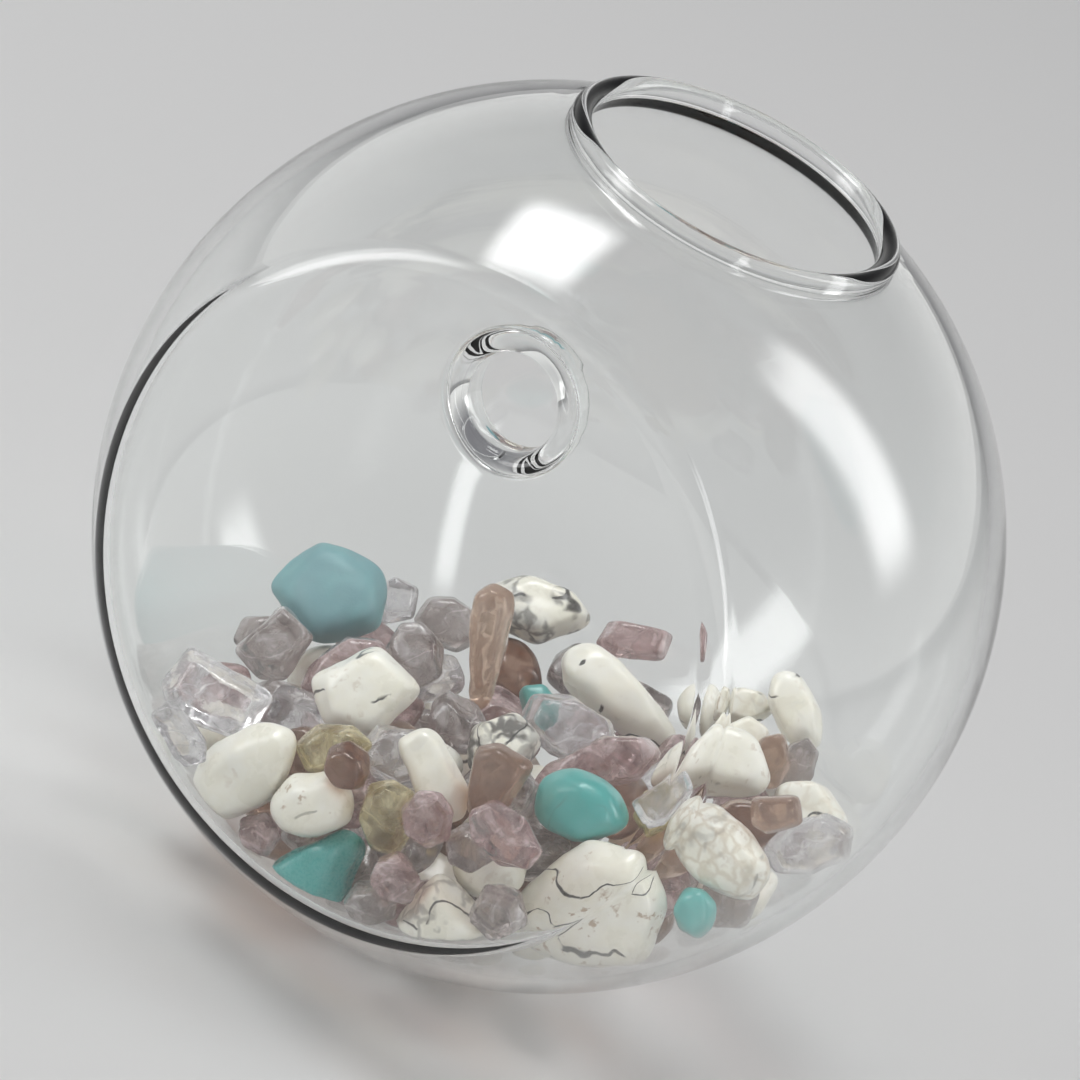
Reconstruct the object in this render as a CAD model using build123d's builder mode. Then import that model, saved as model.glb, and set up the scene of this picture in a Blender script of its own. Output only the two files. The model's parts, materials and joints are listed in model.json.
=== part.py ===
from build123d import *
import os
from math import cos, pi, radians, sin, sqrt

import numpy as np

# Hanging wall vase: a blown glass ball with a flat back, filled with loose tumbled stones.
# The origin is the centre of the hanging hole's bore, on its axis.
# +Y points out of the back towards the wall, +Z is up, and sizes are in millimetres.

# Glass vessel
BALL_DIAMETER = 120.0
FLAT_BACK_DIAMETER = 90.0
WALL = 2.0
BACK_EDGE_RADIUS = 6.0

# Mouth on top, with its bead lip
MOUTH_DIAMETER = 41.0
LIP_BEAD_DIAMETER = 2.8
LIP_RISE = 0.9
LIP_BEAD_PROUD = 0.4
LIP_GROOVE_RADIUS = 0.8

# Hanging hole near the top of the flat back, with its rim rolled inwards
HOLE_DIAMETER = 13.0
HOLE_ROLL_RADIUS = 2.5
HOLE_BORE_LENGTH = 3.0
HOLE_RIM_THICKNESS = 2.8
HOLE_ROOT_RADIUS = 0.8
HOLE_LAND = 0.3

# Heap of stones: its middle below the ball's centre, its fall towards +X, and the fit between stones
HEAP_BELOW_CENTRE = 27.0
HEAP_FALL = 0.30
STONE_GAP = 0.3
STONE_NESTLE = 2.0
STONE_ROUNDING = 0.16

# Bed of chips under the stones that show: a chip's size, the scales, tilts and turns it comes in,
# the cover over the bed and the row along the back that it leaves free
CHIP_LENGTH = 11.5
CHIP_WIDTH = 9.0
CHIP_THICKNESS = 7.0
CHIP_SCALES = (0.8, 1.1)
CHIP_TILTS = (20, 90)
CHIP_TURNS = (0, 180)
CHIP_SPACING = 10.5
BED_COVER = 4.0
BACK_ROW = 15.5
BED_LAYERS = 8
BED_SEED = 7

# Outlines of tumbled stones in a square of side one, long side along X
OVAL = [(0.50, 0.02), (0.30, 0.43), (-0.16, 0.50), (-0.48, 0.20)]
OVAL += [(-0.46, -0.26), (-0.06, -0.50), (0.38, -0.38)]
BEAN = [(0.50, 0.12), (0.26, 0.47), (-0.22, 0.50), (-0.50, 0.10), (-0.36, -0.44), (0.12, -0.50)]
RHOMB = [(0.50, 0.06), (0.10, 0.50), (-0.50, 0.16), (-0.34, -0.32), (0.06, -0.50)]
WEDGE = [(0.50, -0.40), (0.36, -0.08), (0.02, 0.50), (-0.50, -0.34), (-0.38, -0.50)]
SLAB = [(0.50, -0.02), (0.44, 0.30), (0.12, 0.50), (-0.38, 0.12)]
SLAB += [(-0.50, -0.18), (-0.20, -0.46), (0.30, -0.50)]
TAPER = [(0.50, 0.10), (0.36, 0.50), (-0.42, 0.26), (-0.50, -0.02), (-0.38, -0.24), (0.44, -0.50)]
TRAPEZE = [(0.50, -0.24), (0.46, -0.46), (-0.50, -0.50), (-0.38, 0.08), (0.04, 0.50), (0.30, 0.36)]
BAR = [(0.50, 0.28), (-0.40, 0.50), (-0.50, -0.16), (-0.32, -0.50), (0.44, -0.42)]
CHIP = [(0.50, 0.02), (0.18, 0.50), (-0.40, 0.36), (-0.50, -0.30), (0.12, -0.50)]

# Share of the outline that is left at a stone's two broad faces, and how far each is out of the middle
FRONT_FACE = 0.76
REAR_FACE = 0.68
FRONT_SHIFT = (0.07, -0.05)
REAR_SHIFT = (-0.06, 0.06)

# Stones that show, in the order in which they were laid. Each has its outline, its length, width and
# thickness, its place, its tilt (0 faces the wall, 90 lies flat) and the turn of its long side from level.
# At the foot of the glass, before the bed: places across the ball's axis and in from the flat back
FOOT_STONES = {
    "howlite_slab": (SLAB, (24.0, 15.5, 8.0), (-36.5, 15.2), 0, 135),
    "turquoise_bead": (OVAL, (6.5, 5.5, 5.0), (-48, 16.7), 10, 82),
    "howlite_oval": (OVAL, (14.0, 10.0, 9.0), (-47, 21.7), 0, 10),
    "howlite_wedge": (WEDGE, (14.0, 9.5, 8.0), (-23, 5.7), 0, 145),
    "rose_quartz_foot": (CHIP, (6.5, 6.0, 5.5), (7, 3.7), 0, 145),
    "turquoise_wedge": (WEDGE, (14.0, 9.0, 7.0), (-3, 4.7), 0, 305),
    "smoky_quartz_foot": (OVAL, (7.5, 6.5, 6.0), (-14, 4.7), 0, 136),
}
# Against the flat back, from the bottom up: places as at the foot
BACK_STONES = {
    "howlite_bean": (BEAN, (19.0, 10.0, 8.0), (10, 4.7), 0, 120),
    "howlite_pebble": (OVAL, (12.0, 8.5, 7.0), (-1, 5.7), 10, 135),
    "rose_quartz_bead": (BEAN, (7.0, 6.5, 6.0), (-17, 4.7), 0, 77),
    "citrine_nugget": (OVAL, (10.5, 8.0, 7.0), (-9, 4.7), 0, 72),
    "agate_bead": (OVAL, (6.5, 6.0, 5.5), (-2, 3.7), 10, 168),
    "smoky_quartz_bean": (BEAN, (8.0, 6.0, 6.0), (-23, 9.7), 0, 163),
    "smoky_quartz_chip": (CHIP, (8.0, 7.0, 6.0), (-27, 4.7), 0, 173),
    "clear_quartz_slice": (BAR, (9.5, 5.0, 4.5), (18, 3.7), 0, 20),
    "rose_quartz_oval": (OVAL, (8.0, 7.5, 6.0), (-16, 4.7), 0, 92),
}
# The rest of the heap: places across and towards the wall from the ball's axis
HEAP_STONES = {
    # Against the ball's wall on the high side
    "agate_sliver": (BAR, (7.0, 5.0, 5.0), (-46, 13), 20, 131),
    "agate_slab": (BEAN, (12.0, 7.5, 7.0), (-44, 3), 40, 150),
    "clear_quartz_oval": (OVAL, (12.0, 7.0, 6.5), (-50, 2), 20, 125),
    "howlite_cracked": (CHIP, (11.0, 9.0, 8.0), (-44, -14), 30, 5),
    "citrine_olive": (BEAN, (8.0, 6.5, 6.0), (-37, 8), 30, 130),
    # At the front of the ball, furthest from the wall
    "smoky_quartz_far": (OVAL, (9.5, 8.0, 7.0), (20, -36), 40, 175),
    "clear_quartz_far": (CHIP, (7.0, 6.5, 6.0), (27, -32), 40, 110),
    "howlite_far": (BEAN, (15.0, 9.0, 9.0), (11, -41), 45, 160),
    "rose_quartz_far": (BAR, (10.0, 5.5, 5.0), (-1, -47), 45, 150),
    "howlite_curl": (BEAN, (7.5, 5.5, 5.0), (-22, -40), 45, 155),
    "howlite_slim": (OVAL, (12.0, 6.5, 6.0), (-29, -34), 30, 30),
    "smoky_quartz_slim": (OVAL, (8.5, 5.5, 5.0), (-35, -31), 30, 77),
    "agate_tan": (BEAN, (8.0, 6.0, 6.0), (-37, -25), 30, 82),
    "howlite_bit": (CHIP, (7.0, 6.0, 6.0), (-29, -29), 45, 125),
    "howlite_taper": (TAPER, (20.0, 8.0, 8.0), (-11.5, -31), 40, 5),
    # On top of the heap, from its low side to its high side
    "smoky_quartz_oval": (OVAL, (10.0, 7.0, 6.5), (33, -11), 45, 165),
    "turquoise_block": (CHIP, (16.0, 14.0, 10.0), (27, -19), 40, 180),
    "smoky_quartz_block": (BAR, (10.0, 8.5, 7.0), (27, 4), 30, 90),
    "clear_quartz_lilac": (BAR, (15.0, 10.0, 8.0), (20, 27), 20, 168),
    "rose_quartz_slab": (SLAB, (12.5, 8.0, 7.0), (19, 0), 35, 130),
    "agate_mauve": (OVAL, (7.0, 6.0, 6.0), (12, 20), 30, 72),
    "citrine_pale": (BEAN, (10.5, 6.5, 6.0), (3, 29), 20, 145),
    "howlite_bar": (BAR, (13.0, 7.0, 6.0), (-8, 27), 20, 25),
    "clear_quartz_block": (CHIP, (12.0, 9.0, 8.0), (-3, 18), 35, 163),
    "agate_fin": (TAPER, (11.0, 8.0, 6.0), (-17, 25), 10, 77),
    "rose_quartz_pear": (OVAL, (11.0, 7.0, 6.5), (-23, 32), 10, 5),
    "smoky_quartz_mauve": (BEAN, (8.0, 7.0, 6.0), (-20, 17), 20, 67),
    "turquoise_bean": (BEAN, (13.0, 9.0, 8.0), (-28, 16), 30, 168),
    "clear_quartz_striped": (BAR, (8.5, 5.5, 5.0), (-39, 17), 20, 100),
    "rose_quartz_plank": (SLAB, (17.0, 7.0, 6.0), (-23, -2), 30, 134),
    "howlite_trapeze": (TRAPEZE, (15.0, 10.0, 9.0), (-32, -11), 45, 150),
    "turquoise_sliver": (BAR, (8.0, 5.0, 4.5), (-5, -22), 45, 30),
    "clear_quartz_long": (OVAL, (15.0, 9.0, 8.0), (-13, -14), 40, 173),
}
# Straight below the mouth, laid last, so that each can be lifted out through it
LOOSE_STONES = {
    "howlite_rhomb": (RHOMB, (14.5, 13.0, 9.0), (7, 8), 35, 144),
    "agate_spike": (TAPER, (18.0, 6.0, 5.5), (3, -13), 10, 66),
    "smoky_quartz_blue": (OVAL, (9.0, 8.0, 7.0), (12, -8), 40, 27),
    "howlite_marbled": (CHIP, (10.0, 9.0, 8.0), (-9, 3), 45, 135),
}

# Chips of the bed, by mineral, in the turn in which they were poured
BED = ["howlite_bed", "smoky_quartz_bed", "rose_quartz_bed", "clear_quartz_bed", "agate_bed"]
BED_OUTLINES = [OVAL, CHIP, BEAN, BAR]

# Worked out from the sizes above
BALL_RADIUS = BALL_DIAMETER / 2
BACK_DISTANCE = sqrt(BALL_RADIUS**2 - (FLAT_BACK_DIAMETER / 2) ** 2)
INNER_RADIUS = BALL_RADIUS - WALL
INNER_BACK = BACK_DISTANCE - WALL
INNER_EDGE_RADIUS = BACK_EDGE_RADIUS - WALL
# Circle on which the rounding of the back's edge is centred, and where the flat ends
EDGE_CIRCLE_RADIUS = sqrt((BALL_RADIUS - BACK_EDGE_RADIUS) ** 2 - (BACK_DISTANCE - BACK_EDGE_RADIUS) ** 2)
HOLE_RADIUS = HOLE_DIAMETER / 2
RIM_RADIUS = HOLE_RADIUS + HOLE_RIM_THICKNESS
RIM_FOOT_RADIUS = max(RIM_RADIUS + HOLE_ROOT_RADIUS, HOLE_RADIUS + HOLE_ROLL_RADIUS) + HOLE_LAND
HOLE_HEIGHT = EDGE_CIRCLE_RADIUS - HOLE_LAND - RIM_FOOT_RADIUS
BACK_FACE = HOLE_BORE_LENGTH / 2 + HOLE_ROLL_RADIUS
TIP_RADIUS = HOLE_RIM_THICKNESS / 2
ROOT_DEPTH = BACK_FACE - WALL - HOLE_ROOT_RADIUS
BEAD_RADIUS = LIP_BEAD_DIAMETER / 2
LIP_RADIUS = MOUTH_DIAMETER / 2 + BEAD_RADIUS
LIP_HEIGHT = sqrt(BALL_RADIUS**2 - LIP_RADIUS**2) + LIP_RISE
THROAT_RADIUS = MOUTH_DIAMETER / 2 + LIP_BEAD_PROUD
CENTRE = Vector(0, BACK_FACE - BACK_DISTANCE, -HOLE_HEIGHT)

# Level plane through the ball's centre, and upright plane through its axis with X across and Y up
LEVEL = Plane(origin=CENTRE)
UPRIGHT = Plane(origin=CENTRE, x_dir=(1, 0, 0), z_dir=(0, -1, 0))
BALL_AXIS = Axis(CENTRE, (0, 0, 1))
OUTER_BACK = Plane(origin=(0, BACK_FACE, 0), z_dir=(0, 1, 0))


def ball_with_flat_back(radius, back_plane, edge_radius):
    """A solid ball cut off at the back, with the edge of the cut rounded."""
    with BuildPart(LEVEL) as ball:
        Sphere(radius)
        split(bisect_by=back_plane, keep=Keep.BOTTOM)
        fillet(ball.edges().filter_by(GeomType.CIRCLE).sort_by(Axis.Y)[-1], edge_radius)
    return ball.part


def level_rings(builder):
    """The edges that go once round the ball's axis."""
    rings = builder.edges().filter_by(GeomType.CIRCLE).filter_by(lambda edge: edge.is_closed)
    return rings.filter_by(lambda ring: abs(ring.normal().Z) > abs(ring.normal().Y))


# The glass, blown as one piece
ball_outside = ball_with_flat_back(BALL_RADIUS, OUTER_BACK, BACK_EDGE_RADIUS)
ball_inside = ball_with_flat_back(INNER_RADIUS, OUTER_BACK.offset(-WALL), INNER_EDGE_RADIUS)
with BuildPart() as glass_vessel:
    add(ball_outside)
    add(ball_inside, mode=Mode.SUBTRACT)
    # Mouth, and the bead that ends it
    with BuildSketch(LEVEL):
        Circle(THROAT_RADIUS)
    extrude(amount=BALL_DIAMETER, mode=Mode.SUBTRACT)
    throat = level_rings(glass_vessel).sort_by(Axis.Z)[0]
    fillet(throat, LIP_GROOVE_RADIUS)
    with BuildSketch(UPRIGHT):
        with Locations((LIP_RADIUS, LIP_HEIGHT)):
            Circle(BEAD_RADIUS)
    revolve(axis=BALL_AXIS)
    groove = level_rings(glass_vessel).filter_by(lambda ring: ring.radius > LIP_RADIUS).sort_by(Axis.Z)[0]
    fillet(groove, LIP_GROOVE_RADIUS)
    # Hanging hole: the wall rolls inwards into a short bore with a round end
    with BuildSketch(OUTER_BACK):
        Circle(RIM_FOOT_RADIUS)
    extrude(amount=-2 * WALL, mode=Mode.SUBTRACT)
    with BuildSketch(Plane.XY):
        with BuildLine():
            roll = CenterArc((HOLE_RADIUS + HOLE_ROLL_RADIUS, HOLE_BORE_LENGTH / 2), HOLE_ROLL_RADIUS, 90, 90)
            Line(roll @ 1, (HOLE_RADIUS, -HOLE_BORE_LENGTH / 2))
            tip = CenterArc((HOLE_RADIUS + TIP_RADIUS, -HOLE_BORE_LENGTH / 2), TIP_RADIUS, 180, 180)
            root = CenterArc((RIM_RADIUS + HOLE_ROOT_RADIUS, ROOT_DEPTH), HOLE_ROOT_RADIUS, 180, -90)
            Line(tip @ 1, root @ 0)
            Polyline(root @ 1, (RIM_FOOT_RADIUS, BACK_FACE - WALL), (RIM_FOOT_RADIUS, BACK_FACE), roll @ 0)
        make_face()
    revolve(axis=Axis.Y)


# Directions in which two stones are held apart: a fan that covers the upper half of a sphere evenly
FAN_COUNT = 900
FAN_STEP = pi * (3 - sqrt(5))
HALVINGS = 24
NESTLE_STEPS = 5
PULL_IN = 0.96
TRIES = 80
COMPASS_POINTS = 72


def upper_fan(count):
    """Evenly spread upward directions, on a spiral."""
    rise = (np.arange(count) + 0.5) / count
    across = np.sqrt(1 - rise**2)
    angle = FAN_STEP * np.arange(count)
    return np.stack([across * np.cos(angle), across * np.sin(angle), rise], axis=1)


FAN = upper_fan(FAN_COUNT)


def stone_axes(tilt, turn):
    """Long side, short side and broad face of a stone, as rows; a tilt of 0 faces the wall."""
    face = np.array([0, cos(radians(tilt)), sin(radians(tilt))])
    level = np.array([1.0, 0.0, 0.0])
    rising = np.cross(level, face)
    long_side = cos(radians(turn)) * level + sin(radians(turn)) * rising
    return np.stack([long_side, np.cross(face, long_side), face])


class Stone:
    """A tumbled stone: a small convex core, rounded all over by one radius."""

    def __init__(self, outline, size, tilt, turn):
        length, width, thickness = size
        self.rounding = STONE_ROUNDING * min(size)
        core = np.array([length, width]) - 2 * self.rounding
        half = thickness / 2 - self.rounding
        belt = np.array(outline) * core
        front = FRONT_FACE * belt + core * FRONT_SHIFT
        rear = REAR_FACE * belt + core * REAR_SHIFT
        layers = [(belt, 0.0), (front, half), (rear, -half)]
        corners = np.concatenate([np.insert(ring, 2, level, axis=1) for ring, level in layers])
        self.corners = corners @ stone_axes(tilt, turn)
        self.reach = np.linalg.norm(self.corners, axis=1).max() + self.rounding
        self.upper = (self.corners @ FAN.T).max(axis=0) + self.rounding
        self.lower = (self.corners @ -FAN.T).max(axis=0) + self.rounding
        self.place = np.zeros(3)

    def top(self):
        """Height of the stone's highest point."""
        return self.place[2] + self.corners[:, 2].max() + self.rounding


def depth_in_glass(points):
    """How far points, measured from the ball's centre, lie inside the glass."""
    core_back = INNER_BACK - INNER_EDGE_RADIUS
    far = np.linalg.norm(points, axis=-1)
    back = points[..., 1]
    from_axis = np.hypot(points[..., 0], points[..., 2])
    past_corner = (from_axis > EDGE_CIRCLE_RADIUS) & (back * EDGE_CIRCLE_RADIUS > from_axis * core_back)
    corner = INNER_EDGE_RADIUS - np.hypot(from_axis - EDGE_CIRCLE_RADIUS, back - core_back)
    return np.where(past_corner, corner, np.minimum(INNER_RADIUS - far, INNER_BACK - back))


def heap_height(across):
    """Height of the heap's surface above the ball's centre."""
    return -HEAP_BELOW_CENTRE - HEAP_FALL * across


def rest_heights(stone, spots, laid):
    """Lowest height at which a stone let down on each spot clears the glass and the stones laid before."""
    held_off = stone.rounding + STONE_GAP
    low = np.full(len(spots), -INNER_RADIUS)
    high = np.zeros(len(spots))

    def clears_glass(heights):
        places = np.column_stack([spots, heights])
        return depth_in_glass(stone.corners + places[:, None, :]).min(axis=1) >= held_off

    for _ in range(HALVINGS):
        middle = (low + high) / 2
        clear = clears_glass(middle)
        low = np.where(clear, low, middle)
        high = np.where(clear, middle, high)
    for other in laid:
        offsets = spots - other.place[:2]
        if np.linalg.norm(offsets, axis=1).min() < stone.reach + other.reach + STONE_GAP:
            apart = other.upper + stone.lower + STONE_GAP
            heights = ((apart - offsets @ FAN[:, :2].T) / FAN[:, 2]).min(axis=1) + other.place[2]
            high = np.maximum(high, heights)
    return np.where(clears_glass(high), high, np.inf)


def beside(stone, spots, other):
    """Whether a stone on each spot can be lifted past another one."""
    compass = np.linspace(0, 2 * pi, COMPASS_POINTS, endpoint=False)
    outward = np.stack([np.cos(compass), np.sin(compass)])
    near_side = (stone.corners[:, :2] @ -outward).max(axis=0) + stone.rounding
    far_side = (other.corners[:, :2] @ outward).max(axis=0) + other.rounding
    return ((spots - other.place[:2]) @ outward >= near_side + far_side + STONE_GAP).any(axis=1)


def lay(stone, spot, laid, room=INNER_RADIUS, loose=()):
    """Lets a stone down where it nestles lowest near a spot, or further in where something is in its way.

    It stays within a round room about the ball's axis, and beside the loose stones.
    """
    steps = np.linspace(-STONE_NESTLE, STONE_NESTLE, NESTLE_STEPS)
    around = np.array([(x, y) for x in steps for y in steps])
    wanted = np.array(spot, dtype=float)
    for _ in range(TRIES):
        spots = wanted + around
        heights = rest_heights(stone, spots, laid)
        spread = np.linalg.norm(stone.corners[:, :2] + spots[:, None, :], axis=2).max(axis=1)
        heights[spread + stone.rounding > room] = np.inf
        for other in loose:
            heights[~beside(stone, spots, other)] = np.inf
        best = heights.argmin()
        if np.isfinite(heights[best]):
            stone.place = np.append(spots[best], heights[best])
            laid.append(stone)
            return
        wanted = PULL_IN * wanted
        around = around / PULL_IN
    raise ValueError(f"no room for a stone near {spot}")


def lay_bed(laid):
    """Pours the chips, layer by layer, as far up as the stones that show leave room."""
    chance = np.random.default_rng(BED_SEED)
    chips = []
    across = np.arange(-INNER_RADIUS, INNER_RADIUS, CHIP_SPACING)
    for layer in range(BED_LAYERS):
        shift = CHIP_SPACING / 2 * (layer % 2)
        for x, y in ((x, y) for x in across + shift for y in across + shift):
            size = np.array([CHIP_LENGTH, CHIP_WIDTH, CHIP_THICKNESS]) * chance.uniform(*CHIP_SCALES)
            outline = BED_OUTLINES[chance.integers(len(BED_OUTLINES))]
            chip = Stone(outline, size, chance.uniform(*CHIP_TILTS), chance.uniform(*CHIP_TURNS))
            if np.hypot(x, y) < INNER_RADIUS - CHIP_WIDTH and y < INNER_BACK - BACK_ROW:
                lay(chip, (x, y), laid)
                if chip.top() < heap_height(chip.place[0]) - BED_COVER:
                    chips.append(chip)
                else:
                    laid.remove(chip)
    return chips


def lay_stones(stones, laid, room=INNER_RADIUS, loose=()):
    """Lays the stones of one group in their order, and gives them back by name."""
    group = {}
    for name, (outline, size, spot, tilt, turn) in stones.items():
        group[name] = Stone(outline, size, tilt, turn)
        lay(group[name], spot, laid, room, loose)
    return group


def from_back(stones):
    """A group whose places are given from the flat back, with places from the ball's axis."""
    return {name: (outline, size, (across, INNER_BACK - inset), tilt, turn)
            for name, (outline, size, (across, inset), tilt, turn) in stones.items()}


def solid_stone(stone):
    """The stone as a solid at its place."""
    with BuildPart() as tumbled:
        ConvexPolyhedron([tuple(corner) for corner in stone.corners + stone.place + np.array(tuple(CENTRE))])
        offset(amount=stone.rounding, kind=Kind.ARC)
    return tumbled.part


laid = []
shown = lay_stones(from_back(FOOT_STONES), laid)
bed_chips = lay_bed(laid)
shown |= lay_stones(from_back(BACK_STONES), laid)
shown |= lay_stones(HEAP_STONES, laid)
lower_stones = len(laid)
for name in LOOSE_STONES:
    shown |= lay_stones({name: LOOSE_STONES[name]}, laid, MOUTH_DIAMETER / 2 - STONE_GAP, laid[lower_stones:])

os.makedirs("parts", exist_ok=True)
glass_vessel.part.label = "glass_vessel"
export_step(glass_vessel.part, "parts/glass_vessel.step")
for name, stone in shown.items():
    solid = solid_stone(stone)
    solid.label = name
    export_step(solid, f"parts/{name}.step")
for turn, name in enumerate(BED):
    bed = Compound(label=name, children=[solid_stone(chip) for chip in bed_chips[turn :: len(BED)]])
    export_step(bed, f"parts/{name}.step")
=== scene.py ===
import json
import math

import bmesh
import bpy
import numpy as np
from bpy.props import FloatProperty, FloatVectorProperty, IntProperty, PointerProperty
from mathutils import Matrix, Vector
from mathutils.geometry import delaunay_2d_cdt


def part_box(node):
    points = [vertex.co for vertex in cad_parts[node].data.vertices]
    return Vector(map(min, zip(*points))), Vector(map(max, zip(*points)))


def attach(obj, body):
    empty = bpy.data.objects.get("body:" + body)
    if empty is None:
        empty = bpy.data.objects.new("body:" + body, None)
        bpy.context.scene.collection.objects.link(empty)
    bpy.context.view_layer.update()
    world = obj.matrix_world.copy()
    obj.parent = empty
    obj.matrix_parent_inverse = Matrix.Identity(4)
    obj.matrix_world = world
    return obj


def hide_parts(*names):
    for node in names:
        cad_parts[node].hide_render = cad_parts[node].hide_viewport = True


bl_info = {
    "name": "Hanging wall vase",
    "version": (1, 0, 0),
    "blender": (4, 5, 0),
    "location": "View3D > Sidebar > Wall vase",
    "description": "Blown glass wall vase with a flat back, part filled with loose tumbled stones",
    "category": "Object",
}

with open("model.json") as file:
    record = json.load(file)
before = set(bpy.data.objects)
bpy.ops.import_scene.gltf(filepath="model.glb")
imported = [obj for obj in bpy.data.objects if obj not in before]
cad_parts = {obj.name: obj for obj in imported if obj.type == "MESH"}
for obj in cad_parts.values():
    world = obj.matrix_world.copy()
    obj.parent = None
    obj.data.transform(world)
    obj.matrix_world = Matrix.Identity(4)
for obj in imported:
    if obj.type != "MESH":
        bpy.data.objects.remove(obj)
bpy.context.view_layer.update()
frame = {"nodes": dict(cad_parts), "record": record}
GLASS_LOW, GLASS_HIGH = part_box("glass_vessel")
HOLE = next(mount for mount in frame["record"]["mounts"] if mount["name"] == "hanging_hole")
MM = 0.001
GLASS_WELD = 2e-6
STONE_WELD = 1e-6

# The ball, from the box of its glass: left to right it is whole, and so are its bottom and its front
BALL_RADIUS = (GLASS_HIGH.x - GLASS_LOW.x) / 2
BALL_CENTRE = Vector((0, GLASS_LOW.y + BALL_RADIUS, GLASS_LOW.z + BALL_RADIUS))
BACK_DISTANCE = GLASS_HIGH.y - BALL_CENTRE.y
LIP_TOP = GLASS_HIGH.z - BALL_CENTRE.z
HOLE_RADIUS = HOLE["dims"]["r_mm"] * MM
HOLE_LENGTH = HOLE["dims"]["length_mm"] * MM
HOLE_HEIGHT = HOLE["pos_m"][2] - BALL_CENTRE.z
HOLE_MIDDLE = HOLE["pos_m"][1] - BALL_CENTRE.y

# How each stone that shows is coloured, from 0, pale or chalky, to 1, dark or polished
TONES = {
    "turquoise_block": 0.15, "turquoise_wedge": 0.80, "turquoise_bean": 0.70, "turquoise_bead": 0.90,
    "turquoise_sliver": 0.60,
    "agate_spike": 0.05, "agate_tan": 0.30, "agate_slab": 0.85, "agate_bead": 0.95, "agate_mauve": 0.70,
    "agate_fin": 0.60, "agate_sliver": 0.55,
}

# How much each howlite is marked: dark hairlines, grey marbling, rusty spots and beige grain
MARKS = ("hairlines", "marbling", "rust", "grain")
HOWLITE_MARKS = {
    "howlite_slab": (1.0, 0.0, 0.9, 0.1), "howlite_wedge": (0.3, 0.5, 0.2, 0.0),
    "howlite_bean": (0.0, 0.0, 0.25, 0.1), "howlite_pebble": (0.2, 0.1, 0.8, 0.1),
    "howlite_oval": (0.2, 0.3, 0.3, 1.0), "howlite_cracked": (1.0, 0.35, 0.3, 0.6),
    "howlite_far": (0.5, 0.75, 0.1, 0.1), "howlite_curl": (0.4, 0.2, 0.8, 0.5),
    "howlite_slim": (0.5, 0.15, 0.2, 0.1), "howlite_bit": (0.2, 0.0, 0.2, 0.3),
    "howlite_taper": (0.6, 0.0, 0.1, 0.0), "howlite_bar": (0.1, 0.0, 0.0, 0.1),
    "howlite_trapeze": (0.15, 0.0, 0.4, 0.0), "howlite_rhomb": (0.8, 0.0, 0.3, 0.0),
    "howlite_marbled": (0.9, 1.0, 0.1, 0.0),
}
BED_MARKS = (0.4, 0.2, 0.4, 0.3)

# How many times as long as the others a stone, or each stone of a mineral, was tumbled
TUMBLED = {
    "rose_quartz": 0.25, "smoky_quartz": 0.25, "clear_quartz": 0.25, "citrine": 0.5,
    "turquoise_block": 3, "turquoise_bean": 5, "turquoise_bead": 4, "howlite_bean": 4, "howlite_taper": 4,
    "howlite_slim": 4, "howlite_oval": 3, "howlite_pebble": 3, "howlite_bar": 2, "howlite_slab": 2,
}

# The inside of each quartz: the colour of its veils, its clearness, and the colour that light takes in it
QUARTZ = {
    "rose_quartz": ((0.66, 0.56, 0.56), 0.60, (0.72, 0.62, 0.61)),
    "smoky_quartz": ((0.58, 0.56, 0.57), 0.68, (0.70, 0.66, 0.65)),
    "clear_quartz": ((0.78, 0.77, 0.78), 0.82, (0.84, 0.83, 0.83)),
    "citrine": ((0.66, 0.61, 0.42), 0.60, (0.74, 0.68, 0.50)),
}

# Softboxes: how far right, up and towards the viewer each hangs, its width and height, and its power
SOFTBOXES = {
    "left_softbox": ((-0.75, 0.45, 0.35), (0.40, 1.00), 5.5),
    "right_softbox": ((0.85, 0.25, 0.10), (0.30, 1.00), 4.0),
    "top_softbox": ((0.00, 1.00, 0.25), (0.55, 0.45), 6.0),
}
BODY = {node: body for body, nodes in frame["record"]["behaviour"]["bodies"].items() for node in nodes}


def size_property(name, description, default):
    """A length in metres that a user may change."""
    return FloatProperty(name=name, description=description, default=default, unit="LENGTH", precision=4)


def colour_property(name, description, default):
    """A colour that a user may change."""
    return FloatVectorProperty(name=name, description=description, default=default, subtype="COLOR",
                               min=0, max=1, size=3)


class GlassSettings(bpy.types.PropertyGroup):
    """Sizes and finish of the blown glass."""

    wall: size_property("Wall", "Thickness of the glass", 2 * MM)
    edge_radius: size_property("Back edge", "Rounding where the flat back turns into the ball", 6 * MM)
    mouth_radius: size_property("Mouth", "Clear radius of the mouth", 20.5 * MM)
    bead_radius: size_property("Lip bead", "Radius of the bead round the mouth", 1.4 * MM)
    bead_proud: size_property("Bead overhang", "How far the bead stands into the mouth", 0.4 * MM)
    groove_radius: size_property("Lip groove", "Rounding between the bead and the ball", 0.8 * MM)
    roll_radius: size_property("Hole roll", "Radius with which the back rolls into the hole", 2.5 * MM)
    rim_radius: size_property("Hole rim", "Radius of the round end of the hanging hole's rim", 1.4 * MM)
    root_radius: size_property("Rim root", "Rounding between the rim and the inside of the back", 0.8 * MM)
    grain: size_property("Mesh step", "Spacing of the points on the ball", 1.35 * MM)
    edge_rings: IntProperty(name="Edge rings", description="Rings of points on the back's edge", default=19)
    wander: size_property("Hand of the blower", "How far the inside wanders from an even wall", 0.16 * MM)
    tint: colour_property("Tint", "Colour of the glass", (0.985, 0.995, 0.99))


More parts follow.
